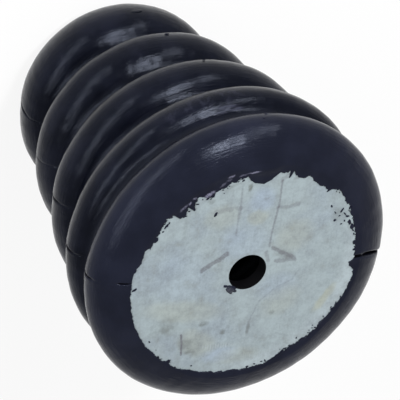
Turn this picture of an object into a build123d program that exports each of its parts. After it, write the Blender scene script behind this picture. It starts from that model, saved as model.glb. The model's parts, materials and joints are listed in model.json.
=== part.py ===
"""Hollow rubber buffer with five tapering rings and a bonded steel mounting plate.

The buffer stands on its open free end, with the plate facing up. Z runs along the buffer's axis, and the
two halves of the mould meet in the plane of X and Z. All sizes are in millimetres.
"""

import os

from build123d import *

# Rings, named from the open free end up to the plate: crest radius, and rise of each crest above the last
end_ring_radius = 37.1
lower_ring_radius = 42.6
middle_ring_radius = 48.1
upper_ring_radius = 53.3
plate_ring_radius = 54.0
end_ring_height = 13.3
lower_ring_rise = 28.6
middle_ring_rise = 29.1
upper_ring_rise = 27.0
plate_ring_rise = 18.2

# Grooves: depth below the smaller crest beside each, how far up it stands from one crest to the next, and
# the share of each flank that the crest's round takes from the groove's
groove_depth = 8.5
plate_groove_depth = 5.2
groove_place = 0.48
crest_share = 0.58

# Shoulder that rolls over from the plate ring to the plate, and flat ring at the free end
shoulder_run = 20.5
shoulder_height = 10.7
free_face_radius = 31.0

# Hollow: rubber left behind the crests, behind the grooves and under the plate
crest_wall = 15.0
groove_wall = 10.0
mouth_radius = 17.0
mouth_round = 2.0
plate_web = 5.0
seat_radius = 16.0
chamber_round = 5.0

# Steel plate, bolted through its middle
plate_radius = 42.6
plate_thickness = 5.0
plate_edge_round = 0.8
plate_face_rise = 9.3
bolt_hole_radius = 6.75

# Distance that the two halves of the mould stood apart
mould_spread = 2.1

# Heights above the free end
end_ring_z = end_ring_height
lower_ring_z = end_ring_z + lower_ring_rise
middle_ring_z = lower_ring_z + middle_ring_rise
upper_ring_z = middle_ring_z + upper_ring_rise
plate_ring_z = upper_ring_z + plate_ring_rise
plate_face_z = plate_ring_z + plate_face_rise
plate_back_z = plate_face_z - plate_thickness
chamber_roof_z = plate_back_z - plate_web

# Points of the half section, as radius and height
crests = [
    Vector(end_ring_radius, end_ring_z),
    Vector(lower_ring_radius, lower_ring_z),
    Vector(middle_ring_radius, middle_ring_z),
    Vector(upper_ring_radius, upper_ring_z),
    Vector(plate_ring_radius, plate_ring_z),
]
depths = [groove_depth, groove_depth, groove_depth, plate_groove_depth]
grooves = [
    Vector(lower.X - depth, lower.Y + groove_place * (upper.Y - lower.Y))
    for lower, upper, depth in zip(crests[:-1], crests[1:], depths)
]
inner_crests = [Vector(crest.X - crest_wall, crest.Y) for crest in crests[:-1]]
inner_grooves = [Vector(groove.X - groove_wall, groove.Y) for groove in grooves[:-1]]


def draw_flank(start, end, start_share):
    """Draw a flank as two tangent arcs that run along the axis at both ends.

    The arcs meet on the straight line from start to end, at start_share of its length, which splits the
    turn between the two rounds whatever the height and depth of the flank.
    """
    turn = start + (end - start) * start_share
    TangentArc(start, turn, tangent=(0, end.Y - start.Y))
    TangentArc(end, turn, tangent=(0, start.Y - end.Y))


def draw_waves(wave_crests, wave_grooves):
    """Draw the flanks from the first crest up to the last, down into each groove and out again."""
    for lower, groove, upper in zip(wave_crests[:-1], wave_grooves, wave_crests[1:]):
        draw_flank(lower, groove, crest_share)
        draw_flank(groove, upper, 1 - crest_share)


def draw_outside():
    """Draw the outside from the free end up over the shoulder, closed along the axis."""
    TangentArc(crests[0], (free_face_radius, 0), tangent=(0, -1))
    draw_waves(crests, grooves)
    shoulder_centre = (plate_ring_radius - shoulder_run, plate_ring_z)
    shoulder = EllipticalCenterArc(shoulder_centre, shoulder_run, shoulder_height, arc_size=90)
    Polyline(shoulder @ 1, (0, plate_ring_z + shoulder_height), (0, 0), (free_face_radius, 0))


def draw_hollow():
    """Draw the hollow from the rounded mouth up to its roof, closed along the axis."""
    throat = Vector(mouth_radius, mouth_round)
    TangentArc(throat, (mouth_radius + mouth_round, 0), tangent=(0, -1))
    draw_flank(throat, inner_crests[0], 1 - crest_share)
    draw_waves(inner_crests, inner_grooves)
    chamber_wall = inner_crests[-1].X
    Polyline(inner_crests[-1], (chamber_wall, chamber_roof_z), (0, chamber_roof_z), (0, 0))
    Line((0, 0), (mouth_radius + mouth_round, 0))


with BuildPart() as mounting_plate:
    with BuildSketch(Plane.XY.offset(plate_back_z)):
        Circle(plate_radius)
        Circle(bolt_hole_radius, mode=Mode.SUBTRACT)
    extrude(amount=plate_thickness)
    rims = mounting_plate.edges().filter_by(GeomType.CIRCLE).group_by(SortBy.RADIUS)[-1]
    fillet(rims.sort_by(Axis.Z)[0], plate_edge_round)
mounting_plate.part.label = "mounting_plate"

with BuildPart() as rubber_body:
    # Each half of the mould gives a body of revolution whose axis stands off the parting plane
    with BuildSketch(Plane.XZ.offset(mould_spread / 2)):
        with BuildLine():
            draw_outside()
        make_face()
    revolve(axis=Axis((0, -mould_spread / 2, 0), (0, 0, 1)))
    split(bisect_by=Plane.XZ, keep=Keep.TOP)
    mirror(about=Plane.XZ)

    # Hollow, open at the free end, with its roof moulded under the plate
    with BuildSketch(Plane.XZ) as hollow:
        with BuildLine():
            draw_hollow()
        make_face()
        roof_corner = hollow.vertices().group_by(Axis.Y)[-1].sort_by(Axis.X)[-1]
        fillet(roof_corner, chamber_round)
    revolve(axis=Axis.Z, mode=Mode.SUBTRACT)

    # Room for the plate, cut open above its face, and the seat left bare for the bolt head
    add(mounting_plate.part, mode=Mode.SUBTRACT)
    with BuildSketch(Plane.XY.offset(plate_face_z)):
        Circle(plate_radius)
    extrude(amount=shoulder_height, mode=Mode.SUBTRACT)
    with BuildSketch(Plane.XY.offset(plate_face_z)):
        Circle(seat_radius)
    extrude(amount=-plate_thickness - plate_web, mode=Mode.SUBTRACT)
rubber_body.part.label = "rubber_body"

os.makedirs("parts", exist_ok=True)
for piece in (mounting_plate, rubber_body):
    export_step(piece.part, f"parts/{piece.part.label}.step")
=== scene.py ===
"""Looks of the rubber buffer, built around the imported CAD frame.

The rubber body gets its mould seam, its small moulding pips and a satin black finish, the steel plate
gets its dull zinc face with smears and stains, and a thin ragged skin of rubber is left round the
plate's face. Lengths are in metres, in the frame of the CAD: Z runs along the buffer's axis and the two
halves of the mould meet in the plane of X and Z.
"""

import json
import math
from functools import reduce

import bpy
import numpy as np
from bpy.props import FloatProperty, FloatVectorProperty, IntProperty, PointerProperty
from bpy.types import Operator, Panel, PropertyGroup
from mathutils import Matrix, Vector


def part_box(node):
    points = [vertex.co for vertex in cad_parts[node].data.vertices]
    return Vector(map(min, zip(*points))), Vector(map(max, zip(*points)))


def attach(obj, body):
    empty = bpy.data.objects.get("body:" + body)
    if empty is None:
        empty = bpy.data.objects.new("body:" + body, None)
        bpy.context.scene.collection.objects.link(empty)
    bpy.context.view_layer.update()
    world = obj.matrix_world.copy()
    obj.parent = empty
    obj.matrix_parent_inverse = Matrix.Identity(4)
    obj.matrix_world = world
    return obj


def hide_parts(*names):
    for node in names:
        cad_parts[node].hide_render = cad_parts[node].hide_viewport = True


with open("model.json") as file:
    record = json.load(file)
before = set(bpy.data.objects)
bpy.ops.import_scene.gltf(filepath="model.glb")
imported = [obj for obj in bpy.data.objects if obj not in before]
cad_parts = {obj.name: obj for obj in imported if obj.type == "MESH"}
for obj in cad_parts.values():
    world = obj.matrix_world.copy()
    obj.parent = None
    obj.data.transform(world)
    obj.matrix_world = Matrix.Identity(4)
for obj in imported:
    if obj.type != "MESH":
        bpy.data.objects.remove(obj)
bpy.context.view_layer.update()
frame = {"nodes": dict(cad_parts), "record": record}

bl_info = {
    "name": "Rubber Buffer",
    "version": (1, 0, 0),
    "blender": (4, 5, 0),
    "location": "3D View > Sidebar > Buffer",
    "description": "Builds the rubber skin, the plate's finish and the studio of a rubber buffer",
    "category": "Object",
}

MM = 0.001
PLATE_LOW, PLATE_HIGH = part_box("mounting_plate")
PLATE_FACE = PLATE_HIGH.z
PLATE_RIM = PLATE_HIGH.x
BOLT_HOLE = frame["record"]["mounts"][0]["dims"]["r_mm"] * MM


# Settings that a user would change

def setting(kind, **fixed):
    """Maker of settings of one kind, each from its name, description and default."""
    return lambda name, description, default: kind(
        name=name, description=description, default=default, **fixed)


a_length = setting(FloatProperty, unit="LENGTH")
four_lengths = setting(FloatVectorProperty, size=4, unit="LENGTH")
five_lengths = setting(FloatVectorProperty, size=5, unit="LENGTH")
a_share = setting(FloatProperty, subtype="FACTOR")
a_level = setting(FloatProperty)
a_count = setting(IntProperty)
a_colour = setting(FloatVectorProperty, subtype="COLOR")
a_place = setting(FloatVectorProperty, size=3, subtype="TRANSLATION")
a_lens = setting(FloatProperty, subtype="DISTANCE_CAMERA")


class BodySizes(PropertyGroup):
    """Sizes of the rubber body, as the CAD has them, and of what its mould left on it."""

    crest_radii: five_lengths(
        "Ring radii", "Radius of each ring's crest, from the free end up",
        (0.0371, 0.0426, 0.0481, 0.0533, 0.0540))
    crest_heights: five_lengths(
        "Ring heights", "Height of each ring's crest above the free end",
        (0.0133, 0.0419, 0.0710, 0.0980, 0.1162))
    groove_depths: four_lengths(
        "Groove depths", "Depth of each groove below the crest under it", (0.0085, 0.0085, 0.0085, 0.0052))
    groove_place: a_share("Groove place", "How far up a groove stands from one crest to the next", 0.48)
    crest_share: a_share("Crest share", "Share of a flank that the crest's round takes", 0.58)
    free_face_radius: a_length("Free face radius", "Radius of the flat ring at the free end", 0.031)
    shoulder_run: a_length(
        "Shoulder run", "Radial reach of the quarter oval that rolls over to the plate", 0.0205)
    shoulder_height: a_length("Shoulder height", "Rise of that oval above the plate ring's crest", 0.0107)
    mould_spread: a_length("Mould spread", "Distance that the two halves of the mould stood apart", 0.0021)
    crest_wall: a_length("Wall behind crests", "Rubber between a crest and the hollow", 0.015)
    groove_wall: a_length("Wall behind grooves", "Rubber between a groove and the hollow", 0.010)
    mouth_radius: a_length("Mouth radius", "Radius of the hollow's mouth in the free end", 0.017)
    mouth_round: a_length("Mouth round", "Round of the mouth's edge", 0.002)
    web: a_length("Web", "Rubber between the hollow's roof and the plate", 0.005)
    seat_radius: a_length("Seat radius", "Bare seat for the bolt's head on the plate's back", 0.016)
    chamber_round: a_length("Chamber round", "Round of the hollow's upper corner", 0.005)
    foot_fade: a_length("Foot fade", "Height over which the unevenness starts above the free end", 0.004)
    wander: a_length("Unevenness", "Height of the slow waves over the moulded surface", 0.00007)
    steps_round: a_count("Steps round", "Divisions round the body", 480)
    shoulder_steps: a_count("Shoulder steps", "Divisions from the plate ring's crest to the plate", 24)
    rubber_dark: a_colour("Rubber, deep", "Darkest tone of the rubber", (0.0025, 0.0031, 0.0068))
    # Also the tone of the painted light on the top of the body, near the plate
    rubber_dull_and_lit: a_colour(
        "Rubber, dull", "Tone of the rubber where dust and handling dull it", (0.0135, 0.0155, 0.029))
    # The scuffed patch in this tone is worn rubber; the streak along its upper edge is a painted highlight
    rubber_scuff_and_glint: a_colour(
        "Rubber, scuffed", "Tone of the scuffed patch on the fourth ring", (0.045, 0.047, 0.075))


class SkinSizes(PropertyGroup):
    """Sizes of the ragged rubber skin on the plate's face and of the scraps left on it."""

    thickness: a_length("Thickness", "Thickness of the skin away from the plate's rim", 0.00032)
    jag: a_length("Raggedness", "Reach of the small tears of the skin's edge to each side", 0.00025)
    edge_round: a_length("Edge round", "Width over which the torn edge thins", 0.00026)
    overlap: a_length("Overlap", "Reach of the skin's rows out over the shoulder", 0.0034)
    tongue_height: a_length("Tongue height", "Rise of the thick tongue at the top of the plate", 0.0008)
    lip_height: a_length("Lip height", "Rise of the skin on both sides of the right seam", 0.00012)
    scrap_height: a_length("Scrap height", "Thickness of the loose scraps on the plate", 0.0003)
    steps_round: a_count("Steps round", "Divisions of the torn edge round the plate", 2400)
    # Tone of painted highlights: the pale spots on the skin, where its curled film would catch the light
    scuff_and_glint: a_colour("Scuff", "Tone of the pale scraped spots on the skin", (0.20, 0.20, 0.28))
    flap: a_colour("Flap", "Tone of the thin flap at the hole", (0.055, 0.060, 0.075))


class PlateFinish(PropertyGroup):
    """Colours of the plate's dull zinc face."""

    zinc: a_colour("Zinc", "Usual tone of the dull zinc", (0.355, 0.425, 0.450))
    zinc_cold: a_colour("Cold zinc", "Bluer patches", (0.370, 0.455, 0.545))
    zinc_warm: a_colour("Warm stain", "Greenish yellow patches", (0.385, 0.415, 0.352))
    # Also the tone of a painted highlight: the paler band along the plate's rim at the lower right
    zinc_pale_and_glint: a_colour("Pale zinc", "Rubbed band along the rim", (0.460, 0.535, 0.570))
    dull: a_colour("Dull zinc", "Grey that the uneven zinc darkens to", (0.16, 0.18, 0.20))
    stain: a_colour("Stain", "Greenish grey of the dirt", (0.125, 0.140, 0.122))
    smear: a_colour("Smear", "Tone of rubber smeared over the zinc", (0.115, 0.110, 0.130))


class StageSettings(PropertyGroup):
    """Floor, lamps and the camera's place."""

    camera_place: a_place("Camera", "Where the camera stands", (-0.399564, 0.556614, 0.856496))
    lens: a_lens("Lens", "Focal length in millimetres on a 36 mm sensor", 270.6)
    floor_size: a_length("Floor", "Radius of the floor", 6.0)
    floor_rim: a_length("Floor rim", "Height to which the floor's edge curves up", 0.9)
    floor_gap: a_length("Floor gap", "Gap that keeps the floor clear of the free end", 0.00005)
    window_level: a_level("Window level", "Brightness of the broad lamp at the right", 58.0)
    pane_level: a_level("Pane level", "Brightness of the small lamp above it", 30.0)
    glow_level: a_level("Glow level", "Brightness of the weak long lamp at the left", 31.0)
    fill_level: a_level("Fill level", "Strength of the soft light from all round", 0.49)


# Shader maths: arithmetic on sockets adds the nodes

def sign(operation, swapped=False):
    """Method of Wire that adds a Math node, with its values swapped for a reflected sign."""
    def method(self, *others):
        values = (*others, self) if swapped else (self, *others)
        return self.sheet.add("ShaderNodeMath", {"operation": operation}, *values)
    return method


class Wire:
    """An output socket that arithmetic works on; each sign adds one Math node."""

    def __init__(self, sheet, socket):
        self.sheet, self.socket = sheet, socket

    __add__ = __radd__ = sign("ADD")
    __sub__, __rsub__ = sign("SUBTRACT"), sign("SUBTRACT", swapped=True)
    __mul__ = __rmul__ = sign("MULTIPLY")
    __pow__ = sign("POWER")
    __abs__ = sign("ABSOLUTE")
    root, sine = sign("SQRT"), sign("SINE")
    turn = sign("ARCTAN2")  # y.turn(x) is the angle of the point x, y round the origin
    least, most = sign("MINIMUM"), sign("MAXIMUM")

    def beside(self, output):
        """Another output of the same node, by name or place."""
        return Wire(self.sheet, self.socket.node.outputs[output])

    def rise(self, low, high):
        """0 below low, 1 above high, with a smooth step between; low may be the larger."""
        return self.sheet.add(
            "ShaderNodeMapRange", {"interpolation_type": "SMOOTHSTEP"},
            Value=self, **{"From Min": low, "From Max": high})


class Sheet:
    """A material's or world's node tree, emptied, to which nodes are added one call at a time."""

    def __init__(self, owner):
        owner.use_nodes = True
        self.tree = owner.node_tree
        self.tree.nodes.clear()

    def add(self, kind, settings=None, *values, out=0, **sockets):
        """Add a node, set its settings first, then wire or set its inputs by place or by name."""
        node = self.tree.nodes.new(kind)
        for name, value in (settings or {}).items():
            setattr(node, name, value)
        inputs = [i for i in node.inputs if i.enabled]
        pairs = list(zip(inputs, values))
        pairs += [(next(i for i in inputs if i.name == name), v) for name, v in sockets.items()]
        for socket, value in pairs:
            if isinstance(value, Wire):
                self.tree.links.new(value.socket, socket)
            else:
                socket.default_value = value
        outputs = [o for o in node.outputs if o.enabled]
        if not outputs:
            return None
        socket = outputs[out] if isinstance(out, int) else next(o for o in outputs if o.name == out)
        return Wire(self, socket)

    def place(self):
        """Object coordinates in millimetres."""
        where = self.add("ShaderNodeTexCoord", out="Object")
        return self.add("ShaderNodeVectorMath", {"operation": "SCALE"}, where, Scale=1 / MM)

    def split(self, vector):
        """The three parts of a vector."""
        first = self.add("ShaderNodeSeparateXYZ", None, vector)
        return tuple(first.beside(k) for k in range(3))

    def noise(self, where, size, detail=3.0, rough=0.5, seed=0.0):
        """Noise from 0 to 1 with blobs about `size` millimetres across."""
        return self.add(
            "ShaderNodeTexNoise", {"noise_dimensions": "4D"},
            Vector=where, W=seed, Scale=1 / size, Detail=detail, Roughness=rough)

    def blend(self, share, first, second):
        """Colour that goes from first to second as share goes from 0 to 1, and no further."""
        return self.add(
            "ShaderNodeMix", {"data_type": "RGBA", "clamp_factor": True},
            Factor=share, A=colour(first), B=colour(second))

    def bump(self, height, depth, under=None):
        """Normal of a surface whose height in millimetres is `height` times `depth`."""
        sockets = {"Height": height, "Distance": depth * MM, "Strength": 1.0}
        if under is not None:
            sockets["Normal"] = under
        return self.add("ShaderNodeBump", None, **sockets)


def colour(value):
    """A colour as four numbers, or the wire that carries it."""
    return value if isinstance(value, Wire) else (*value, 1.0)


def new_material(name):
    """An empty material and its sheet."""
    material = bpy.data.materials.new(name)
    return material, Sheet(material)


def surface(sheet, share, first, second):
    """Wire the output to two shaders, mixed from first to second as share goes from 0 to 1."""
    mixed = sheet.add("ShaderNodeMixShader", None, share, first, second)
    sheet.add("ShaderNodeOutputMaterial", None, Surface=mixed)


# Shapes: whole arrays of points, no loop over vertices

# Points along each arc of the section
FOOT_POINTS, FLANK_POINTS, WAVE_POINTS, THROAT_POINTS, MOUTH_POINTS, ROOF_POINTS = 13, 8, 4, 3, 4, 5
# Points of the fine table that `angles_round` inverts
FINE_POINTS = 20001


def along_arc(start, end, count):
    """Points of the circle arc that leaves `start` parallel to the axis and reaches `end`.

    With dr and dz the way from start to end, the circle's radius is (dr^2 + dz^2) / (2 |dr|) and the
    arc turns by 2 atan(|dr| / |dz|).
    """
    dr, dz = end[0] - start[0], end[1] - start[1]
    radius = (dr * dr + dz * dz) / (2 * abs(dr))
    turn = np.linspace(0, 2 * math.atan2(abs(dr), abs(dz)), count)
    return np.stack([
        start[0] + math.copysign(radius, dr) * (1 - np.cos(turn)),
        start[1] + math.copysign(radius, dz) * np.sin(turn),
    ], axis=1)


def along_flank(start, end, share, count):
    """Points of a flank: two tangent arcs that both end parallel to the axis.

    They meet on the chord from start to end, at `share` of its length.
    """
    turn = start + (end - start) * share
    return np.vstack([along_arc(start, turn, count), along_arc(end, turn, count)[-2::-1]])


def along_waves(crests, grooves, share, count):
    """Points from the first crest to the last, through each groove between them."""
    runs = [crests[:1]]
    for low, groove, high in zip(crests[:-1], grooves, crests[1:]):
        runs.append(along_flank(low, groove, share, count)[1:])
        runs.append(along_flank(groove, high, 1 - share, count)[1:])
    return np.vstack(runs)


def ring_points(sizes):
    """Radius and height of the rings' crests and of the grooves between them."""
    crests = np.stack([sizes.crest_radii, sizes.crest_heights], axis=1)
    grooves = np.stack([
        crests[:-1, 0] - np.array(sizes.groove_depths),
        crests[:-1, 1] + sizes.groove_place * np.diff(crests[:, 1]),
    ], axis=1)
    return crests, grooves


def outer_section(sizes):
    """Section of the outside as radius and height, from the flat ring up to the plate ring's crest."""
    crests, grooves = ring_points(sizes)
    foot = along_arc(crests[0], (sizes.free_face_radius, 0), FOOT_POINTS)[:0:-1]
    return np.vstack([foot, along_waves(crests, grooves, sizes.crest_share, FLANK_POINTS)])


def hidden_section(sizes):
    """Section of the plate's pocket, the bolt's seat and the hollow, from the plate's rim to the mouth."""
    crests, grooves = ring_points(sizes)
    back = PLATE_LOW.z
    roof = back - sizes.web
    pocket = np.array([(PLATE_RIM, PLATE_FACE), (PLATE_RIM, back), (sizes.seat_radius, back),
                       (sizes.seat_radius, roof)])
    inner_crests = crests[:-1] - (sizes.crest_wall, 0)
    inner_grooves = grooves[:-1] - (sizes.groove_wall, 0)
    throat = np.array((sizes.mouth_radius, sizes.mouth_round))
    wall, corner = inner_crests[-1, 0], sizes.chamber_round
    hollow = np.vstack([
        along_arc(throat, (sizes.mouth_radius + sizes.mouth_round, 0), MOUTH_POINTS)[:0:-1],
        along_flank(throat, inner_crests[0], 1 - sizes.crest_share, THROAT_POINTS),
        along_waves(inner_crests, inner_grooves, sizes.crest_share, WAVE_POINTS)[1:],
        along_arc((wall, roof - corner), (wall - corner, roof), ROOF_POINTS),
    ])
    return np.vstack([pocket, hollow[::-1]])


def half_offset(angle, radius, spread):
    """Extra radius of a circle whose halves stand `spread` apart along Y.

    The ray at this angle meets the circle round (0, spread / 2) at
    s |sin| + sqrt(r^2 - s^2 cos^2), with s half the spread.
    """
    s = spread / 2
    return s * np.abs(np.sin(angle)) + np.sqrt(radius ** 2 - (s * np.cos(angle)) ** 2) - radius


def bell(x, width):
    """Smooth bump of height 1 and half width about `width`."""
    return np.exp(-(x / width) ** 2)


def read(table, place, column=1, period=None):
    """Value of a table's column at a place in its first column, straight from row to row."""
    return np.interp(place, [row[0] for row in table], [row[column] for row in table], period=period)


def once_round(count):
    """Even angles once round, as a row."""
    return np.linspace(0, 2 * math.pi, count, endpoint=False)[None]


def turned(radius, angle, height):
    """Points at a radius and angle round the Z axis, and at a height."""
    return np.stack([radius * np.cos(angle), radius * np.sin(angle), height + 0 * angle], axis=-1)


def angles_round(count, places, width, gain):
    """Angles once round, packed closer at the given places.

    The density is 1 plus `gain` times a bell of that width at each place; its running sum is inverted.
    """
    fine = np.linspace(-math.pi / 2, 1.5 * math.pi, FINE_POINTS)
    away = [(fine - place + math.pi) % (2 * math.pi) - math.pi for place in places]
    density = 1 + gain * sum(bell(a, width) for a in away)
    total = np.concatenate([[0], np.cumsum((density[1:] + density[:-1]) / 2)])
    steps = np.linspace(0, total[-1], count, endpoint=False)
    return np.interp(steps, total, fine)


def grid_faces(rows, columns):
    """Quads of a grid that closes on itself along both of its ways."""
    i, j = np.meshgrid(np.arange(rows), np.arange(columns), indexing="ij")
    ni, nj = (i + 1) % rows, (j + 1) % columns
    return np.stack([i * columns + j, i * columns + nj, ni * columns + nj, ni * columns + j],
                    axis=-1).reshape(-1, 4)


def cup_faces(rows, columns, first):
    """Faces of a grid that closes only round, from point `first` on: quads, and a flat cap at each end."""
    quads = grid_faces(rows, columns)[:-columns, [0, 3, 2, 1]]
    ring = np.arange(columns)
    return [(face + first).tolist() for face in (*quads, ring, ring[::-1] + (rows - 1) * columns)]


def slow_waves(rng, angle, height, amplitude, count, rounds, lengths):
    """Sum of `count` sine waves over angle and height, each with random direction and phase."""
    total = 0.0
    for _ in range(count):
        turns = rng.integers(*rounds)
        length = rng.uniform(*lengths) * rng.choice((-1, 1))
        phase = rng.uniform(0, 2 * math.pi)
        total = total + np.sin(turns * angle + 2 * math.pi * height / length + phase)
    return total * amplitude / math.sqrt(count)


def torn_line(rng, angle, knots):
    """Jagged line round the plate: straight runs between random heights at random angles."""
    places = np.sort(rng.uniform(0, 2 * math.pi, knots))
    heights = rng.uniform(-1, 1, knots)
    return np.interp(angle % (2 * math.pi), places, heights, period=2 * math.pi)


# Angle between faces from which an edge is sharp
SHARP = math.radians(40)


def put_piece(name, points, faces, material, crack=None):
    """New mesh object from arrays, at the origin, with its faces smooth and its corners sharp.

    `crack` is a number for each point, 1 in the depth of a crack, where the rubber's finish paints
    a near black painted shade.
    """
    mesh = bpy.data.meshes.new(name)
    mesh.from_pydata(points.reshape(-1, 3), [], faces)
    if crack is not None:
        values = mesh.attributes.new("crack", "FLOAT", "POINT").data
        values.foreach_set("value", crack.astype(np.float32).ravel())
    mesh.validate()
    mesh.shade_smooth()
    mesh.set_sharp_from_angle(angle=SHARP)
    mesh.materials.append(material)
    piece = bpy.data.objects.new(name, mesh)
    bpy.context.scene.collection.objects.link(piece)
    return piece


# The rubber body

# The line where the mould's halves met, on the left (-X) and on the right: way up the section, place
# along Y, depth of its groove, and reach of the groove above and below the line, all in millimetres.
# The way up is the height as far as the plate ring's crest, and then goes on in over the shoulder.
LEFT_SEAM = (
    (0, 2.6, 0.2, 0.3, 0.3), (9, 2.4, 0.5, 0.35, 0.3), (13.3, 1.7, 0.8, 0.4, 0.3),
    (17, 0.9, 0.1, 0.3, 0.3), (38, 0.3, 0.1, 0.3, 0.3), (41.9, 0.3, 0.3, 0.4, 0.3),
    (46, 0.6, 0.05, 0.3, 0.3), (66, 2.2, 0.7, 0.3, 0.3), (70, 2.5, 0.9, 0.45, 0.3),
    (74, 2.7, 0.3, 0.35, 0.3), (78, 2.7, 0.05, 0.3, 0.3), (93, 1.7, 0.7, 0.35, 0.3),
    (97, 1.3, 1, 0.5, 0.3), (101, 0.9, 0.3, 0.4, 0.3), (104, 1, 0, 0.35, 0.3),
    (112.5, 1.9, 1.1, 0.7, 0.3), (115.5, 2.2, 0.9, 0.7, 0.3), (117.5, 2.6, 0.1, 0.4, 0.25),
    (123.4, 3.1, 0.1, 0.25, 0.25), (124.2, 3.1, 1.1, 0.25, 0.22), (126.3, 3.1, 1, 0.25, 0.22),
    (127, 3.1, 0.4, 0.25, 0.25), (131, 3.1, 0.4, 0.25, 0.25),
)
RIGHT_SEAM = (
    (0, -0.6, 0.15, 0.3, 0.3), (90, -0.6, 0.25, 0.3, 0.3), (98, -0.6, 0.5, 0.3, 0.3),
    (107, -1.3, 0.8, 0.45, 0.5), (114, -4, 0.9, 0.6, 0.65), (117.5, -4.2, 1, 0.65, 0.75),
    (119.5, -3.3, 1.8, 0.65, 0.75), (121.2, -2.4, 2.3, 0.65, 0.8), (123.4, -1.6, 2.3, 0.65, 0.8),
    (125, -1.1, 1.8, 0.65, 0.8), (126.2, -0.85, 0.9, 0.65, 0.8), (127, -0.8, 0.3, 0.6, 0.7),
    (131, -0.8, 0.3, 0.6, 0.6),
)
# Swell beside the left seam, and step down across the right one: way up the section and height
LEFT_SWELL = ((88, 0), (98, 0.6), (107, 0.4), (112, 0.7), (119, 0.7), (127, 0.1), (131, 0))
RIGHT_STEP = ((100, 0), (113, 0.4), (119, 0.4), (126, 0.1), (131, 0))
SWELL_REACH = 8.0
STEP_REACH = 4.0
# Depth at which a seam's groove gets its full painted shade, on the left and on the right, and how much
# further the painted shade reaches below the line than the groove does
LEFT_DARK, RIGHT_DARK = 0.9, 0.45
PAINTED_SHADE_BELOW = 1.35
# Band on each side of the seams, as an angle, where the points stand closer, and how much closer
SEAM_BAND = math.radians(4)
SEAM_GAIN = 6.0

# Slow waves and fine ripple of the surface: how many sines, the turns that each makes round the body,
# from and to, and its length along the body in metres, from and to
WAVES = (14, (2, 14), (0.02, 0.09))
RIPPLE = (16, (16, 60), (0.008, 0.03))
RIPPLE_SHARE = 0.35


def seam_place(angle, radius, along):
    """Distance along Y from the seam on this side, and the depth and reach of its groove there, in
    millimetres, read from the seam's rows with straight runs between them."""
    left = np.cos(angle) < 0
    line, depth, above, below = (
        np.where(left, read(LEFT_SEAM, along / MM, k), read(RIGHT_SEAM, along / MM, k))
        for k in range(1, 5)
    )
    off = radius * np.sin(angle) / MM - line
    return off, depth, np.where(off > 0, above, below)


def seam_painted_shade(angle, radius, along):
    """Painted shade of a seam: 1 deep in its groove, to 0 at its sides and where the groove is shallow."""
    off, depth, reach = seam_place(angle, radius, along)
    deep = np.where(np.cos(angle) < 0, LEFT_DARK, RIGHT_DARK)
    return bell(off, reach * np.where(off < 0, PAINTED_SHADE_BELOW, 1)) * np.clip(depth / deep, 0, 1)


def seam_shape(angle, radius, along):
    """Height of the mould's seams over the even surface.

    Across the seam, at the distance d along Y, the groove is depth * exp(-(d / reach)^2) deep; the
    left swell is swell * exp(-(|d| / 8)^1.2), and the right step raises the upper side and lowers the
    lower one by half of step * exp(-|d| / 4).
    """
    off, depth, reach = seam_place(angle, radius, along)
    left = np.cos(angle) < 0
    away = np.abs(off)
    swell = read(LEFT_SWELL, along / MM) * np.exp(-(away / SWELL_REACH) ** 1.2) * left
    step = read(RIGHT_STEP, along / MM) * np.exp(-away / STEP_REACH) * ~left
    return (swell + 0.5 * step * np.sign(off) - depth * bell(off, reach)) * MM


def mould_shape(sizes, angle, radius, along):
    """Height of the moulded surface over the even one: the sum of slow waves, fine ripple and the
    seams. `along` is the way up the section."""
    rng = np.random.default_rng(11)
    waves = slow_waves(rng, angle, along, sizes.wander, *WAVES)
    ripple = slow_waves(rng, angle, along, sizes.wander * RIPPLE_SHARE, *RIPPLE)
    return waves + ripple + seam_shape(angle, radius, along)


def shoulder_way(sizes, angle, even):
    """Way up the section to the point of the even shoulder with radius `even`."""
    crest = sizes.crest_radii[4]
    return sizes.crest_heights[4] + crest + half_offset(angle, crest, sizes.mould_spread) - even


def shoulder_surface(sizes, angle, even):
    """Radius and height of the uneven shoulder, above the point of the even one with radius `even`.

    The even shoulder is a quarter oval round the axis of its mould half, which stands half the spread
    from the Z axis; inside the plate's rim the same oval goes on over the plate.
    """
    s = sizes.mould_spread / 2
    crest_radius, crest_height = sizes.crest_radii[4], sizes.crest_heights[4]
    reach = np.sqrt(even ** 2 - 2 * even * s * np.abs(np.sin(angle)) + s * s)
    out = np.clip((reach - crest_radius + sizes.shoulder_run) / sizes.shoulder_run, 0, 1)
    up = np.sqrt(1 - out ** 2)
    slope_out, slope_up = out / sizes.shoulder_run, up / sizes.shoulder_height
    length = np.hypot(slope_out, slope_up)
    shape = mould_shape(sizes, angle, even, shoulder_way(sizes, angle, even))
    return (even + shape * slope_out / length,
            crest_height + sizes.shoulder_height * up + shape * slope_up / length)


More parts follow.
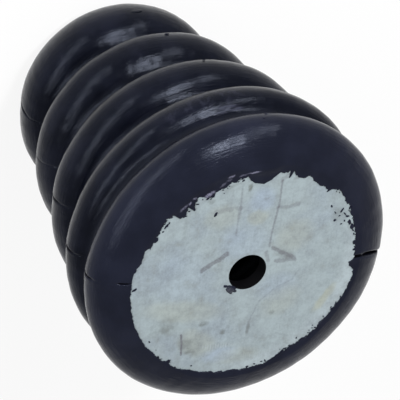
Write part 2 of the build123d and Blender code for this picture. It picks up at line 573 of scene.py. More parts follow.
def body_surface(sizes):
    """Points of the rubber body: its section carried round the axis, with the mould's halves apart.

    Outside, radius = section radius + offset of the mould's halves, moved along the section's normal
    by the height of the moulded surface. The shoulder's rows run from the crest to the plate's rim.
    """
    angle = angles_round(sizes.steps_round, (0, math.pi), SEAM_BAND, SEAM_GAIN)[None]
    section = outer_section(sizes)
    ahead = np.gradient(section, axis=0)
    ahead /= np.linalg.norm(ahead, axis=1, keepdims=True)
    radius, height = section[:, :1], section[:, 1:]
    spread = radius + half_offset(angle, radius, sizes.mould_spread)
    shape = mould_shape(sizes, angle, spread, height) * np.clip(height / sizes.foot_fade, 0, 1)
    out = np.stack([spread + ahead[:, 1:] * shape, height - ahead[:, :1] * shape])

    turn = np.linspace(0, 1, sizes.shoulder_steps + 1)[1:, None]
    crest = sizes.crest_radii[4] + half_offset(angle, sizes.crest_radii[4], sizes.mould_spread)
    even = crest + (PLATE_RIM - crest) * (1 - np.cos(turn * math.pi / 2))
    shoulder = np.stack(shoulder_surface(sizes, angle, even))
    # Painted shade for the seams' grooves, a number for each point of the outside and the shoulder
    crack = [seam_painted_shade(angle, spread, height), seam_painted_shade(angle, even, shoulder_way(sizes, angle, even))]

    hidden = hidden_section(sizes).T[:, :, None] + 0 * angle
    rim, rise = np.concatenate([out, shoulder, hidden], axis=1)
    faces = grid_faces(*rim.shape).tolist()
    return turned(rim, angle, rise), faces, np.vstack([*crack, 0 * hidden[0]])


# Pips that the mould's vents left, each on a ring's crest near the top of the half that faces +Y: ring
# from the free end, angle in degrees, and height above the crest, length, width and rise in millimetres
PIPS = (
    (0, 86.2, 0.9, 2.4, 0.9, 0.4), (1, 86.6, -1.2, 0.9, 0.4, 0.5), (2, 85.7, -2.2, 0.6, 0.25, 0.4),
    (4, 86.6, 1, 0.5, 0.3, 0.35), (4, 84.6, -1.5, 0.5, 0.3, 0.35),
)
# Grid of a pip, and the angle left at each of its poles for a flat cap
PIP_ROWS, PIP_COLUMNS = 14, 24
PIP_POLE = 0.02


def pip_surface(centre, size):
    """Points of a pip: a flattened ball, (a sin v cos u, b sin v sin u, c cos v) round its centre."""
    v = np.linspace(PIP_POLE, math.pi - PIP_POLE, PIP_ROWS)[:, None]
    return turned(np.sin(v), once_round(PIP_COLUMNS), np.cos(v)) * size + centre


# Rubber: refractive index, tint of its sheen, and its usual, least and greatest roughness
RUBBER_IOR = 1.25
RUBBER_SHEEN = (0.72, 0.80, 1.0, 1.0)
RUBBER_ROUGH, RUBBER_SMOOTHEST, RUBBER_ROUGHEST = 0.20, 0.14, 0.75
# Depths of the bumps in millimetres: lumps, and the grain over them
LUMP_DEPTH, GRAIN_DEPTH = 0.10, 0.14
# Painted shade: the near black tone in the depth of a seam
CRACK_SHADE_TONE = (0.002, 0.002, 0.003, 1.0)
# Heights over which the top of the body is painted lighter, a painted light, and places along Y
# between which the scuff and the painted streak on the fourth ring set in
PAINTED_LIGHT_HEIGHTS, SCUFF_AND_GLINT_SIDE = (104, 113), (20, 40)
# Scuffed patch on the fourth ring, and a painted highlight as a lighter streak along its upper edge:
# centre along X and Z, and half length and half height
SCUFFED_PATCH, GLINT_STREAK = ((-10, 99.5), (15, 5)), ((-3, 103.4), (6, 0.9))


def rubber_finish(name, sizes, dull=0.0, glints_and_pale_spots=(), glint_and_spot_tone=None):
    """Satin black rubber: bluish, slightly uneven in tone and gloss, with a fine moulded grain.

    The top of the body near the plate is painted lighter than the rings below, a painted light, and all
    of it is duller by `dull`. The scuffed patch on the fourth ring is worn rubber, and the lighter streak
    along its upper edge is a painted highlight. Each of the spots given is pale: on the torn skin a
    painted highlight, on the flap at the hole a greyer middle; each has its centre, size and turn on the
    XY plane, and strength. Deep in the seams' grooves the rubber is painted near black, a painted shade.
    """
    material, sheet = new_material(name)
    where = sheet.place()
    x, y, z = sheet.split(where)
    cloud = sheet.noise(where, 14, 4, 0.55, 1.0)
    mottle = sheet.noise(where, 2.6, 4, 0.6, 2.0)
    grain = sheet.noise(where, 0.45, 2, 0.6, 3.0)
    lumps = sheet.noise(where, 5.0, 2, 0.45, 7.0)

    # Fine streaks round the axis, left by the turning of the mould
    radius = (x ** 2 + y ** 2).root()
    round_way = sheet.add("ShaderNodeCombineXYZ", None, radius, z, y.turn(x) * 5)
    streaks = sheet.noise(round_way, 0.7, 3, 0.65, 6.0)

    patch = oval(x, z, *SCUFFED_PATCH).rise(1.25, 0.35) * mottle.rise(0.44, 0.66) * 0.25
    # Painted highlight: a lighter streak along the fourth ring's upper edge
    streak = oval(x, z, *GLINT_STREAK).rise(1.2, 0.3) * streaks.rise(0.35, 0.6) * 0.7
    scuff_and_glint = (patch + streak).least(1) * y.rise(*SCUFF_AND_GLINT_SIDE)

    # Random dull patches, and a painted light that makes the top of the body near the plate lighter
    tone = cloud.rise(0.35, 0.68) * 0.35 + z.rise(*PAINTED_LIGHT_HEIGHTS) * 0.45 + dull
    gloss = (RUBBER_ROUGH + (cloud - 0.5) * 0.16 + (mottle - 0.5) * 0.16 + (streaks - 0.5) * 0.16
             + scuff_and_glint * 0.15)
    tint = sheet.blend(tone, sizes.rubber_dark, sizes.rubber_dull_and_lit)
    tint = sheet.blend(scuff_and_glint, tint, sizes.rubber_scuff_and_glint)
    # Pale spots: painted highlights on the torn skin, and a greyer middle on the flap at the hole
    if glints_and_pale_spots:
        warp = (sheet.noise(where, 1.1, 3, 0.6, 5.0) - 0.5) * 1.2
        pale = patches(x + warp, y - warp, glints_and_pale_spots) * (0.35 + grain.rise(0.40, 0.60) * 0.65)
        tint = sheet.blend(pale, tint, glint_and_spot_tone)
    flow = sheet.bump(lumps, LUMP_DEPTH)
    pores = sheet.bump(mottle * 0.3 + grain * 0.3 + streaks, GRAIN_DEPTH, flow)
    skin = sheet.add("ShaderNodeBsdfPrincipled", None, **{
        "Base Color": tint,
        "Roughness": gloss.most(RUBBER_SMOOTHEST).least(RUBBER_ROUGHEST),
        "IOR": RUBBER_IOR,
        "Specular Tint": RUBBER_SHEEN,
        "Normal": pores,
    })
    # Deep in the seams' grooves the rubber turns to a near black matte shader: a painted shade
    shadowed = sheet.add("ShaderNodeBsdfDiffuse", None, Color=CRACK_SHADE_TONE)
    crack = sheet.add("ShaderNodeAttribute", {"attribute_name": "crack"}, out="Fac").rise(0.25, 0.75)
    surface(sheet, crack, skin, shadowed)
    return material


class OBJECT_OT_buffer_body(Operator):
    """Build the moulded rubber body over its CAD solid"""

    bl_idname = "object.buffer_body"
    bl_label = "Rubber Body"

    def execute(self, context):
        sizes = context.scene.buffer_body
        grid, faces, crack = body_surface(sizes)
        points = [grid.reshape(-1, 3)]
        for ring, turn, rise, length, width, proud in PIPS:
            angle, radius = math.radians(turn), sizes.crest_radii[ring]
            radius += half_offset(angle, radius, sizes.mould_spread)
            centre = turned(radius, angle, sizes.crest_heights[ring] + rise * MM)
            pip = pip_surface(centre, np.array([length, proud / 2, width]) * MM)
            faces += cup_faces(*pip.shape[:2], sum(map(len, points)))
            points.append(pip.reshape(-1, 3))
        points = np.vstack(points)
        # Painted shade for the seams; none on the pips
        crack = np.pad(crack.ravel(), (0, len(points) - crack.size))
        material = rubber_finish("satin rubber", sizes)
        piece = put_piece("rubber_body_skin", points, faces, material, crack=crack)
        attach(piece, "root")
        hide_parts("rubber_body")
        return {"FINISHED"}


# The torn skin of rubber on the plate

# Radius in millimetres at which the skin ends, at angles in degrees from +X, straight from one to the next
TORN_EDGE = (
    (-180, 42.2), (-160, 42.1), (-148, 41.8), (-132, 41.6), (-130.5, 41.3), (-129.5, 40), (-128, 41.3),
    (-123, 41.6), (-116, 40.7), (-104, 40.3), (-92, 39.9), (-86, 40.5), (-78, 40.3), (-74, 41),
    (-68, 40.1), (-61, 39.7), (-55, 40.2), (-44, 40.5), (-33, 40.2), (-26, 40.6), (-20, 41.1),
    (-9.5, 40.7), (-7.5, 39.8), (-6, 38.9), (-4, 38.4), (-2, 40.4), (2, 40.2), (3, 39.4), (5.5, 40.2),
    (8, 38.9), (9, 40), (16, 39.9), (21, 40.3), (25.5, 39.9), (28.5, 40.9), (31.5, 40.4), (40, 41.1),
    (42.5, 40.8), (46, 39.6), (47, 37.7), (47.5, 38.7), (56, 38.4), (59, 38.9), (63, 39.7), (64, 38.5),
    (67.5, 38), (70, 38.6), (72, 40.1), (72.7, 37), (73.2, 37), (74, 40.3), (75, 38.9), (79, 39.1),
    (81, 37.8), (83, 36.3), (87, 34.7), (92.5, 35.6), (94.8, 37), (96.5, 39.1), (98, 38.7),
    (101, 38.8), (103, 37.9), (105, 38.4), (107.7, 37.9), (109.5, 37.2), (111.6, 37.6), (114.6, 37.6),
    (116, 36.4), (118.5, 36.8), (120.5, 38.5), (122.6, 39.6), (124.6, 38.4), (126.8, 38.2),
    (127.6, 36.6), (128.5, 36.1), (129, 37.8), (129.6, 39), (130.4, 38.3), (132.5, 37.2), (134.4, 37.2),
    (136.4, 37.8), (136.9, 41), (140, 41.8), (144.5, 41.3), (146.5, 40.6), (150, 40.4), (154, 40.8),
    (158, 41.5), (165, 40.8), (169, 42.1), (172.5, 42.5), (177, 42.4),
)
# Small tears: where the edge is most ragged, as angle and spread in degrees, and by how much
TEARS = ((142, 26, 1.0), (20, 30, 1.0), (-50, 40, 1.3))
EVEN_TEAR = 0.8
# Smooth end of the tongue at the top: angle, spread and the share of the raggedness that it lacks
CALM = (88, 6, 0.8)
# Jags of three sizes: how many go round the plate, and their share of the raggedness
JAGS = ((190, 1.0), (560, 0.8), (1000, 0.5))
# Gaps that keep the skin off the plate's face and its edge inside the plate's rim, in metres
FACE_GAP = 0.000004
RIM_GAP = 0.00006
# Painted highlights on the skin, as pale spots where its curled film and the tongue's ridge catch the
# light: centre, half length and half width in millimetres, turn in degrees, and strength
SKIN_GLINTS = (
    ((-17.6, 34), (2.5, 1), 30, 1), ((-26.4, 30.3), (2.4, 0.6), 42, 0.5),
    ((-24.4, 31.6), (1, 0.5), 70, 0.8), ((-10.6, 39.8), (1.6, 0.6), 20, 0.8),
    ((-11.2, 38.5), (1.5, 0.5), 20, 0.3), ((-2.6, 40.4), (2.8, 0.5), 5, 0.9),
    ((-6.3, 39.6), (1.9, 0.5), 15, 0.4), ((-13.2, 36.9), (1.8, 0.5), 35, 0.4),
    ((-23, 33.2), (1, 0.5), 20, 0.7),
)


def torn_edge(skin, angle):
    """Radius at which the skin ends: the line through its main tears, and small random jags."""
    rng = np.random.default_rng(23)
    degrees = (np.degrees(angle) + 180) % 360 - 180
    edge = read(TORN_EDGE, degrees, period=360) * MM
    torn = sum((gain * bell(degrees - middle, spread) for middle, spread, gain in TEARS), EVEN_TEAR)
    calm = 1 - CALM[2] * bell(degrees - CALM[0], CALM[1])
    jags = sum(torn_line(rng, angle, knots) * share for knots, share in JAGS)
    return np.minimum(edge + jags * torn * calm * skin.jag, PLATE_RIM - RIM_GAP)


# Rows of the skin, from the outside in: over the shoulder, as shares of its overlap, with their lift off
# the rubber in millimetres; over the plate, as shares of the flat width; and round the torn edge
OVERLAP_SHARES = (1, 0.82, 0.62, 0.4, 0.18, 0)
OVERLAP_LIFTS = (-0.03, 0, 0.010, 0.012, 0.012, 0.012)
FLAT_SHARES = (0.15, 0.35, 0.55, 0.75, 0.9, 1)
ROUND_SHARES = (0.35, 0.65, 0.88, 0.98)
# Tongue at the top: its middle and half width in degrees, and the place and half width of its ridge in
# metres
TONGUE = (88.5, 8)
TONGUE_RIDGE = (0.0408, 0.0016)
# Curled edge: how many knots go round the plate, middle and spread in degrees, height and width in metres
CURL_KNOTS, CURL_HEIGHT, CURL_WIDTH = 150, 0.0004, 0.0007
CURL_PLACE = (118, 30)
# Crack across the skin at the right seam: its reach and the place of its lips in millimetres
CRACK_REACH, LIP_PLACE = 0.7, 1.3
# Rows hidden in the rubber, in metres: out past the plate's rim, and down from its face, from the
# shoulder there and from the shoulder further out
HIDDEN_OUT, HIDDEN_DOWN = 0.0003, (0.0002, 0.0004, 0.0006)


def skin_thickness(skin, angle, edge, inward, at_rim):
    """Thickness of the skin at the distance `inward` from the plate's rim, and the crack across it,
    which the rubber's finish also paints near black as a painted shade.

    With d that distance in millimetres and t the shoulder's height over the plate at the rim, it is
    t + 0.26 d exp(-d / 0.8) - (t - thickness) (1 - exp(-(d / 1.3)^2)), with the tongue, the curled edge
    and the lips of the seam added.
    """
    d = inward / MM
    thick = (at_rim + 0.26 * d * np.exp(-d / 0.8) * MM
             - (at_rim - skin.thickness) * (1 - np.exp(-(d / 1.3) ** 2)))
    degrees = np.degrees(angle)
    reach = PLATE_RIM - inward
    tongue = np.exp(-np.abs((degrees - TONGUE[0]) / TONGUE[1]) ** 4)
    thick = thick + skin.tongue_height * tongue * bell(reach - TONGUE_RIDGE[0], TONGUE_RIDGE[1])
    rng = np.random.default_rng(5)
    curled = np.clip(torn_line(rng, angle, CURL_KNOTS), 0, 1) * bell(degrees - CURL_PLACE[0], CURL_PLACE[1])
    thick = thick + CURL_HEIGHT * curled * np.exp(-(reach - edge) / CURL_WIDTH) * (1 - np.exp(-d / 0.5))
    off = np.abs(reach * np.sin(angle) / MM - RIGHT_SEAM[-1][1])
    right = np.cos(angle) > 0
    thick = thick + skin.lip_height * bell(off - LIP_PLACE, CRACK_REACH) * right
    return thick, bell(off, CRACK_REACH) * right


def skin_surface(sizes, skin):
    """Points of the skin: rows that leave the shoulder's surface, cross the plate's rim, run in over the
    plate to the torn edge, round over it and go back out under the rubber."""
    angle = once_round(skin.steps_round)
    edge = torn_edge(skin, angle)
    even_row = np.ones_like(angle)

    # On the shoulder
    even = PLATE_RIM + skin.overlap * np.array(OVERLAP_SHARES)[:, None]
    outer_reach, outer_height = shoulder_surface(sizes, angle, even * even_row)
    outer_height = outer_height + np.array(OVERLAP_LIFTS)[:, None] * MM

    # Over the plate, rounded down to it at the torn edge
    wide = PLATE_RIM - edge
    fall = np.minimum(skin.edge_round, 0.6 * wide)
    flat_share = np.array(FLAT_SHARES)[:, None]
    round_share = np.array(ROUND_SHARES)[:, None]
    inward = np.vstack([(wide - fall) * flat_share, wide - fall * (1 - round_share)])
    down = np.vstack([1 + 0 * flat_share, np.sqrt(1 - round_share ** 2)])
    at_rim = np.maximum(outer_height[-1:] - PLATE_FACE, 0.1 * MM)
    thick, inner_crack_and_shade = skin_thickness(skin, angle, edge, inward, at_rim)
    on_plate = PLATE_FACE + FACE_GAP
    inner_height = on_plate + thick * down * (1 - 0.9 * inner_crack_and_shade)

    # Down at the edge and back under the rubber
    under_face, under_rim, under_skin = HIDDEN_DOWN
    back = np.vstack([
        edge, even_row * (PLATE_RIM - RIM_GAP), even_row * (PLATE_RIM + HIDDEN_OUT), outer_reach[3::-1]])
    sunk = np.vstack([
        even_row * on_plate, even_row * on_plate,
        np.minimum(PLATE_FACE - under_face, outer_height[-1:] - under_rim),
        outer_height[3::-1] - under_skin])
    radius = np.vstack([outer_reach, PLATE_RIM - inward, back])
    rise = np.vstack([outer_height, inner_height, sunk])
    # Painted shade in the seams' cracks, which the rubber's finish reads
    outer_crack_shade = seam_painted_shade(angle, even, shoulder_way(sizes, angle, even))
    crack = np.vstack([outer_crack_shade, inner_crack_and_shade, 0 * back])
    return turned(radius, angle, rise), grid_faces(*radius.shape).tolist(), crack


class OBJECT_OT_buffer_skin(Operator):
    """Build the torn skin of rubber round the plate's bare face"""

    bl_idname = "object.buffer_skin"
    bl_label = "Torn Skin"

    def execute(self, context):
        sizes, skin = context.scene.buffer_body, context.scene.buffer_skin
        points, faces, crack = skin_surface(sizes, skin)
        material = rubber_finish("torn rubber", sizes, 0.0, SKIN_GLINTS, skin.scuff_and_glint)
        piece = put_piece("plate_edge_skin", points, faces, material, crack=crack)
        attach(piece, "root")
        return {"FINISHED"}


# Scraps of rubber on the plate: place along X and Y, length and width in millimetres, turn in degrees
SCRAPS = (
    (28.4, 21.5, 1.1, 0.6, -60), (30.2, 18.6, 1.2, 0.35, -50), (30.4, 15.6, 1.1, 0.9, 20),
    (31.9, 17.1, 0.7, 0.35, 10), (32.6, 19.2, 2, 0.6, 60), (33.9, 17.6, 1.8, 0.6, -45),
    (35, 16.4, 1.5, 0.6, -20), (34.1, 14.7, 0.8, 0.45, 80), (33, 13.7, 0.6, 0.3, 30),
    (36.1, 14, 2.2, 1.3, 105), (37.3, 11.9, 2.4, 1.3, 110), (-14.5, 25.5, 1.8, 0.8, 60),
    (-31.7, 24.1, 1.3, 0.8, 60), (-35.3, 18.9, 2.2, 1.4, 50), (-37.2, 16.8, 2.8, 1.1, 45),
    (-41, 0.3, 2, 0.7, 30), (-5.2, -5.9, 4.6, 3, -38), (-7.6, -4.3, 1.8, 0.8, -15),
    (-32, 24, 1.2, 0.6, 60), (-22.8, 30.6, 1.5, 0.7, 80),
)
# Crumbs of rubber along the torn edge: middle and spread of their angles in degrees, and how many
CRUMBS = ((118, 14, 18), (146, 12, 16), (28, 10, 14), (-50, 22, 34), (-128, 10, 8))
# Greyer middle of the flap at the hole, in the way of the skin's painted highlights above
FLAP_SCUFFS = (((-5.8, -6.2), (2.6, 1.4), -38, 1.0),)


def crumbs(rng, skin):
    """Rows like those of SCRAPS: small crumbs just inside the torn edge, turned roughly along it."""
    middles, spreads, counts = zip(*CRUMBS)
    angle = np.radians(rng.normal(np.repeat(middles, counts), np.repeat(spreads, counts)))
    reach = torn_edge(skin, angle) / MM - rng.exponential(0.5, angle.size) - 0.05
    length = rng.uniform(0.35, 1.2, angle.size)
    width = length * rng.uniform(0.3, 0.6, angle.size)
    turn = np.degrees(angle) + 90 + rng.normal(0, 35, angle.size)
    return np.stack([reach * np.cos(angle), reach * np.sin(angle), length, width, turn], axis=1)


# Rows of a scrap from its top down and back under it, as shares of its size and height, and its columns
SCRAP_ROWS = ((0.04, 1), (0.55, 0.95), (0.85, 0.78), (0.97, 0.5), (1, 0.2), (1, 0), (0.04, 0))
SCRAP_COLUMNS = 24


def scrap_surface(rng, x, y, length, width, turn, height):
    """Points of a scrap: a low dome over a jagged oval.

    Row by row the oval shrinks and rises; its radius varies with the angle by a torn line.
    """
    angle = once_round(SCRAP_COLUMNS)
    ragged = 1 + 0.30 * torn_line(rng, angle, 9) + 0.12 * torn_line(rng, angle, 22)
    share, rise = np.array(SCRAP_ROWS).T[:, :, None]
    along = share * ragged * np.cos(angle) * length / 2
    across = share * ragged * np.sin(angle) * width / 2
    t = math.radians(turn)
    uneven = 1 + 0.35 * torn_line(rng, angle, 7) * share
    return np.stack([
        (x + along * math.cos(t) - across * math.sin(t)) * MM,
        (y + along * math.sin(t) + across * math.cos(t)) * MM,
        PLATE_FACE + FACE_GAP + rise * uneven * height,
    ], axis=-1)


class OBJECT_OT_buffer_scraps(Operator):
    """Build the loose scraps of rubber that lie on the plate and at its hole"""

    bl_idname = "object.buffer_scraps"
    bl_label = "Rubber Scraps"

    def execute(self, context):
        rng = np.random.default_rng(41)
        skin = context.scene.buffer_skin
        scraps = [*SCRAPS, *crumbs(rng, skin)]
        grids = [scrap_surface(rng, *scrap, skin.scrap_height) for scrap in scraps]
        rows, columns = grids[0].shape[:2]
        faces = []
        for k in range(len(grids)):
            faces += cup_faces(rows, columns, k * rows * columns)
        material = rubber_finish("scrap rubber", context.scene.buffer_body, 0.15, FLAP_SCUFFS, skin.flap)
        piece = put_piece("rubber_scraps", np.stack(grids), faces, material)
        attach(piece, "root")
        return {"FINISHED"}


# The steel plate

# Lines on the plate: the points that each runs through, its width and softness in millimetres, and how
# strongly it shows
SCRATCHES = (
    (((8.6, 35), (8.6, 25.7), (7.2, 14.7), (6.9, 9)), 0.25, 0.5, 0.55),
    (((-5.8, 34), (-5.6, 26.2), (-5.9, 21.9), (-6.1, 16)), 0.2, 0.5, 0.36),
    (((-5.6, 27), (-5.9, 22.5)), 0.5, 0.6, 0.4),
    (((-22, -21.5), (-21.4, -25.2), (-21.2, -29.8)), 0.35, 0.4, 1),
    (((2.8, -25), (3, -20.5), (5.7, -13), (11.3, -8.3), (17.3, -6), (19, -2.9)), 0.15, 0.5, 0.24),
    (((13.9, -27.5), (18.7, -29.5)), 0.2, 0.5, 0.16),
)
# Smears of rubber: likewise
SMEARS = (
    (((-17, 3.6), (-8.6, 8.8)), 1.1, 0.7, 0.75),
    (((8.6, 8.2), (12.7, 5.4), (17, 2.6)), 0.9, 0.8, 0.7),
    (((9.8, 2.9), (13.5, 2.4), (17.2, 1.9)), 0.6, 0.7, 0.5),
    (((13, 5), (14.6, 2.6)), 0.8, 0.9, 0.45),
    (((6, 7), (7.1, 3.4)), 0.6, 0.8, 0.45),
    (((8.2, 24.4), (12.4, 23.9), (16, 24.6)), 0.5, 0.8, 0.4),
    (((8.6, 35.4), (10.4, 36.6)), 1.2, 0.6, 0.36),
    (((14, 35.2), (17.8, 35.4)), 0.9, 0.6, 0.32),
    (((-14.4, 26.4), (-9, 26.6)), 1, 0.8, 0.34),
    (((-6.8, 26.6), (-5.2, 26.2)), 0.8, 0.8, 0.34),
)
# Spots of dirt: centre, half length and half width in millimetres, turn in degrees, and strength
SPOTS = (
    ((13.5, 4.6), (4.6, 2.6), -28, 0.3), ((-14, -18.5), (2.4, 1.5), 10, 0.9),
    ((-6.4, -22.9), (1.4, 1.8), 10, 0.85), ((-4.7, -21.3), (1, 0.8), 0, 0.4),
    ((3, -23.4), (0.9, 3), 0, 0.6), ((11, -18.5), (1.6, 1.6), 0, 0.6),
    ((-18.6, -27), (5.6, 4.4), -25, 0.42), ((-18.2, -29), (2.4, 1.8), 0, 0.45),
    ((-28.1, -17.9), (3, 2), 20, 0.3), ((-24.5, -18.2), (2.2, 1.4), 0, 0.25),
    ((-28, -17), (7.5, 5), 20, 0.22), ((-30.2, 4.1), (4.5, 4), 0, 0.16), ((-21.5, 10.5), (1, 4), 0, 0.14),
    ((-25, 20.8), (0.9, 4.5), 0, 0.22), ((-22.9, 30.8), (1.3, 1.8), 20, 0.55),
    ((-16.4, 31), (1.6, 1.4), 0, 0.4), ((-2.9, 34), (1.3, 1.9), 0, 0.95),
    ((-9.5, 35.5), (4.5, 0.9), 15, 0.35), ((31, 18), (4, 2.4), -60, 0.3),
)
# Patches of a colour: centre, half length and half width in millimetres, turn in degrees, and strength
WARM_PATCHES = (
    ((30.8, -15.8), (8, 2.2), 55, 0.85), ((1.2, 21.6), (5, 3.6), 0, 0.5),
    ((-16, -26), (10, 6.5), -30, 0.5), ((-22, -12), (19, 5.5), -12, 0.4), ((-12, 24), (8, 6), 0, 0.32),
    ((16, 12), (9, 8), 0, 0.36), ((14, -14), (10, 7), 30, 0.32), ((0, -34), (11, 4), 0, 0.3),
)
COLD_PATCHES = (
    ((2.5, 28.5), (6, 6), 0, 0.75), ((-3, 12), (12, 9), 0, 0.45), ((-24, 2), (12, 14), 0, 0.35),
    ((12, -8), (9, 7), 0, 0.45), ((-7, -32.5), (9, 4), 0, 0.8),
)


def stroke(x, y, start, end, width, soft):
    """1 along a straight stroke between two points, falling to 0 over `soft` outside it."""
    dx, dy = end[0] - start[0], end[1] - start[1]
    length = math.hypot(dx, dy)
    along = (x - start[0]) * (dx / length) + (y - start[1]) * (dy / length)
    across = (y - start[1]) * (dx / length) - (x - start[0]) * (dy / length)
    past = abs(along - length / 2) - length / 2
    away = (past.most(0) ** 2 + across ** 2).root()
    return away.rise(width / 2 + soft, width / 2)


def lines(x, y, table):
    """The strongest of the lines of a table, each with its own strength."""
    return reduce(Wire.most, (
        reduce(Wire.most, (stroke(x, y, *ends, width, soft) for ends in zip(points, points[1:]))) * strength
        for points, width, soft, strength in table))


def oval(x, y, centre, size, turn=0):
    """Square of the distance from the middle of an oval, 1 at its edge."""
    c, s = math.cos(math.radians(turn)), math.sin(math.radians(turn))
    along = (x - centre[0]) * (c / size[0]) + (y - centre[1]) * (s / size[0])
    across = (y - centre[1]) * (c / size[1]) - (x - centre[0]) * (s / size[1])
    return along ** 2 + across ** 2


def blot(x, y, *shape):
    """1 in the middle of an oval patch, falling to 0 at its edge."""
    return oval(x, y, *shape).rise(1, 0.1)


def patches(x, y, table):
    """The sum of the oval patches of a table, each with its own strength."""
    total = 0.0
    for centre, size, turn, strength in table:
        total = blot(x, y, centre, size, turn) * strength + total
    return total


# Short row of pale tool marks: centre, half sizes and turn, as of a spot, and how fast its teeth follow
# each other, in radians to the millimetre
TOOL_MARKS = ((-8.5, -28.7), (8, 1.4), -5)
TEETH = 6.5
# Painted highlight: a paler band along the rim at the lower right, with its radius from and to, the way
# to it in X and Y, and how far that way it starts and is full, in millimetres
RIM_GLINT_RADIUS, RIM_GLINT_WAY, RIM_GLINT_START = (33.5, 38.5), (0.77, -0.64), (16, 32)
# Rubber in the hole, in millimetres: above the hole's radius where it ends and is full, below the face
# where it starts and is full, and the radius inside which it lies there
COAT_WALL, COAT_DEPTH, COAT_RADIUS = (0.16, 0.04), (0.05, 0.12), (12, 11)
COAT_TONE = (0.003, 0.003, 0.004, 1.0)
# Zinc's usual, least and greatest roughness, and the depth of its bumps in millimetres
ZINC_ROUGH, ZINC_SMOOTHEST, ZINC_ROUGHEST, ZINC_DEPTH = 0.52, 0.3, 0.85, 0.07


def zinc_finish(name, finish):
    """Dull zinc on steel: cloudy grey with faint brushing, stains, smears of rubber and scratches, a
    painted highlight as a paler band along its rim at the lower right, and a short row of pale tool marks."""
    material, sheet = new_material(name)
    where = sheet.place()
    x, y, z = sheet.split(where)
    warp = sheet.noise(where, 3.0, 3, 0.6, 11.0)
    wx, wy = x + (warp - 0.5) * 2.2, y + (sheet.noise(where, 2.4, 3, 0.6, 12.0) - 0.5) * 2.2
    cloud = sheet.noise(where, 16, 4, 0.55, 13.0)
    mottle = sheet.noise(where, 3.2, 4, 0.65, 14.0)
    speckle = sheet.noise(where, 0.7, 3, 0.7, 15.0)
    drawn = sheet.add("ShaderNodeMapping", None, Vector=where, Scale=(2.2, 0.12, 1.0))
    brushed = sheet.noise(drawn, 1.0, 3, 0.6, 16.0)

    # Cold and warm patches
    cold = cloud.rise(0.46, 0.66) * 0.4 + patches(wx, wy, COLD_PATCHES)
    warm = mottle.rise(0.56, 0.74) * 0.30 + patches(wx, wy, WARM_PATCHES)
    tone = sheet.blend(cold, finish.zinc, finish.zinc_cold)
    tone = sheet.blend(warm, tone, finish.zinc_warm)

    # A painted highlight as a paler band along the rim at the lower right, and the pale tool marks
    radius = (x ** 2 + y ** 2).root()
    teeth = (x * TEETH).sine()
    outward = x * RIM_GLINT_WAY[0] + y * RIM_GLINT_WAY[1]
    pale = (radius.rise(*RIM_GLINT_RADIUS) * outward.rise(*RIM_GLINT_START) * 0.55
            + blot(x, y, *TOOL_MARKS) * teeth.rise(-0.3, 0.6) * 0.6)
    tone = sheet.blend(pale, tone, finish.zinc_pale_and_glint)

    # Smears, scratches and dark spots left by the mould and by handling
    patchy = mottle.rise(0.36, 0.60)
    broken = speckle.rise(0.34, 0.62)
    stained = (patches(wx, wy, SPOTS) * (0.4 + patchy * 0.6)).least(1)
    smeared = (lines(x, y, SCRATCHES) * (0.55 + broken * 0.45)
               + lines(wx, wy, SMEARS) * (0.7 + broken * 0.3)
               + speckle.rise(0.66, 0.78) * mottle.rise(0.48, 0.66) * 0.22).least(1)
    dirt = stained.most(smeared)
    tone = sheet.blend(stained, tone, finish.stain)
    tone = sheet.blend(smeared, tone, finish.smear)
    uneven = (0.24 + (brushed - 0.5) * 0.3 + (speckle - 0.5) * 0.75 + (mottle - 0.5) * 1.15
              + (cloud - 0.5) * 0.9)
    tone = sheet.blend(uneven, tone, finish.dull)

    # The hole's wall is coated with rubber, and so is what lies below the face
    wall = radius.rise(*(BOLT_HOLE / MM + off for off in COAT_WALL))
    below = z.rise(*(PLATE_FACE / MM - off for off in COAT_DEPTH))
    coated = wall.most(below * radius.rise(*COAT_RADIUS))

    gloss = ZINC_ROUGH + (cloud - 0.5) * 0.2 + (mottle - 0.5) * 0.15 + dirt * 0.15
    relief = sheet.bump(mottle * 0.5 + speckle * 0.3 + brushed * 0.3 - dirt * 0.3, ZINC_DEPTH)
    zinc = sheet.add("ShaderNodeBsdfPrincipled", None, **{
        "Base Color": tone,
        "Metallic": 0.1,
        "Roughness": gloss.most(ZINC_SMOOTHEST).least(ZINC_ROUGHEST),
        "Specular IOR Level": 0.5,
        "Normal": relief,
    })
    rubber = sheet.add("ShaderNodeBsdfPrincipled", None, **{
        "Base Color": COAT_TONE, "Roughness": 0.7, "IOR": 1.2})
    surface(sheet, coated, zinc, rubber)
    return material


class OBJECT_OT_buffer_plate(Operator):
    """Give the CAD mounting plate its dull zinc finish"""

    bl_idname = "object.buffer_plate"
    bl_label = "Plate Finish"

    def execute(self, context):
        plate = frame["nodes"]["mounting_plate"]
        material = zinc_finish("dull zinc", context.scene.buffer_plate)
        plate.data.materials.clear()
        plate.data.materials.append(material)
        return {"FINISHED"}


# The stage

# Where the camera looks and what lies to its right, from the way that it was held
CAMERA_FORWARD = (0.387959, -0.537257, -0.748895)
CAMERA_RIGHT = (0.910843, 0.099273, 0.400637)
# Lamps: name, setting of its level, its way from the buffer along the camera's right, up and forward, its
# width and length in metres, and its tilt in radians. All stand as far from the middle of the buffer.
LAMPS = (
    ("right window", "window_level", (0.47, 0.15, -0.88), (0.09, 0.26), 0.65),
    ("right pane", "pane_level", (0.66, 0.48, -0.58), (0.05, 0.22), 0.65),
    ("left glow", "glow_level", (-0.46, 0.06, -0.89), (0.034, 1.1), 0.25),
)
LAMP_DISTANCE = 0.85
BUFFER_MIDDLE = (0, 0, 0.081)
# Floor: its own tone, share of plain white that the eye and mirrors see, and its rows and columns
FLOOR_TONE, FLOOR_WHITE = (0.93, 0.93, 0.93, 1.0), 0.86
FLOOR_ROWS, FLOOR_COLUMNS = 9, 96
WHITE = (1.0, 1.0, 1.0, 1.0)


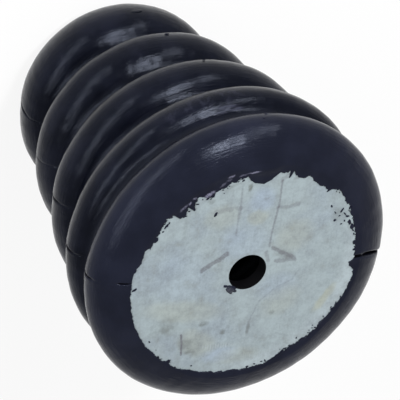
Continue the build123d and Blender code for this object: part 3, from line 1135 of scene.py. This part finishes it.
def camera_axes():
    """Right, up and forward of the camera as unit vectors, square to each other."""
    forward, right = Vector(CAMERA_FORWARD).normalized(), Vector(CAMERA_RIGHT)
    right = (right - forward * right.dot(forward)).normalized()
    return right, right.cross(forward), forward


def stand(name, data, place, axes):
    """Put a camera or lamp at a place, with its X, Y and Z along the given axes."""
    holder = bpy.data.objects.new(name, data)
    holder.matrix_world = Matrix.Translation(place) @ Matrix(axes).transposed().to_4x4()
    bpy.context.scene.collection.objects.link(holder)
    return holder


def add_lamp(name, direction, size, level, tilt):
    """Rectangular soft lamp that faces the buffer, as bright as `level` whatever its size."""
    right, up, forward = camera_axes()
    out = (right * direction[0] + up * direction[1] + forward * direction[2]).normalized()
    long_way = up * math.cos(tilt) + right * math.sin(tilt)
    long_way = (long_way - out * long_way.dot(out)).normalized()
    lamp = bpy.data.lights.new(name, "AREA")
    lamp.shape = "RECTANGLE"
    lamp.size, lamp.size_y = size
    lamp.energy = level * math.pi * size[0] * size[1]
    stand(name, lamp, Vector(BUFFER_MIDDLE) + out * LAMP_DISTANCE, (long_way.cross(out), long_way, out))


def floor_finish(name):
    """Pale floor that shows white to the eye and in mirrors, and keeps the buffer's shadow."""
    material, sheet = new_material(name)
    ray = sheet.add("ShaderNodeLightPath")
    seen = ray.beside("Is Camera Ray").most(ray.beside("Is Glossy Ray")).most(
        ray.beside("Is Transmission Ray"))
    plain = sheet.add("ShaderNodeBsdfDiffuse", None, Color=FLOOR_TONE)
    white = sheet.add("ShaderNodeEmission", None, Color=WHITE, Strength=1.0)
    surface(sheet, seen * FLOOR_WHITE, plain, white)
    return material


def floor_surface(stage):
    """Points of the floor: a disc whose edge curves up by a quarter circle."""
    rise = np.linspace(0, math.pi / 2, FLOOR_ROWS)[:, None]
    reach = stage.floor_size - stage.floor_rim * (1 - np.sin(rise))
    height = stage.floor_rim * (1 - np.cos(rise)) - stage.floor_gap
    return turned(reach, once_round(FLOOR_COLUMNS), height)


class SCENE_OT_buffer_stage(Operator):
    """Set up the pale floor, the soft lamps, the world and the camera"""

    bl_idname = "scene.buffer_stage"
    bl_label = "Stage"

    def execute(self, context):
        scene, stage = context.scene, context.scene.buffer_stage
        right, up, forward = camera_axes()
        camera = bpy.data.cameras.new("photo camera")
        camera.lens, camera.sensor_width = stage.lens, 36.0
        camera.clip_start, camera.clip_end = 0.05, 50.0
        scene.camera = stand("photo camera", camera, Vector(stage.camera_place), (right, up, -forward))

        faces = cup_faces(FLOOR_ROWS, FLOOR_COLUMNS, 0)[:-1]
        floor = put_piece("floor", floor_surface(stage), faces, floor_finish("pale floor"))

        scene.world = bpy.data.worlds.new("studio")
        sheet = Sheet(scene.world)
        soft = sheet.add("ShaderNodeBackground", None, Color=WHITE, Strength=stage.fill_level)
        sheet.add("ShaderNodeOutputWorld", None, Surface=soft)
        for name, level, direction, size, tilt in LAMPS:
            add_lamp(name, direction, size, getattr(stage, level), tilt)

        scene.view_settings.view_transform = "Standard"
        return {"FINISHED"}


class VIEW3D_PT_buffer(Panel):
    """Lists the steps that build the buffer"""

    bl_idname = "VIEW3D_PT_buffer"
    bl_label = "Rubber Buffer"
    bl_space_type = "VIEW_3D"
    bl_region_type = "UI"
    bl_category = "Buffer"

    def draw(self, context):
        for step in STEPS:
            self.layout.operator(step.bl_idname)


STEPS = (OBJECT_OT_buffer_body, OBJECT_OT_buffer_skin, OBJECT_OT_buffer_scraps, OBJECT_OT_buffer_plate,
         SCENE_OT_buffer_stage)
GROUPS = {"buffer_body": BodySizes, "buffer_skin": SkinSizes, "buffer_plate": PlateFinish,
          "buffer_stage": StageSettings}


def register():
    for group in GROUPS.values():
        bpy.utils.register_class(group)
    for name, group in GROUPS.items():
        setattr(bpy.types.Scene, name, PointerProperty(type=group))
    for step in STEPS:
        bpy.utils.register_class(step)
    bpy.utils.register_class(VIEW3D_PT_buffer)


def unregister():
    bpy.utils.unregister_class(VIEW3D_PT_buffer)
    for step in reversed(STEPS):
        bpy.utils.unregister_class(step)
    for name, group in reversed(GROUPS.items()):
        delattr(bpy.types.Scene, name)
        bpy.utils.unregister_class(group)


def main():
    register()
    bpy.ops.object.buffer_body()
    bpy.ops.object.buffer_skin()
    bpy.ops.object.buffer_scraps()
    bpy.ops.object.buffer_plate()
    bpy.ops.scene.buffer_stage()


if __name__ == "__main__":
    main()
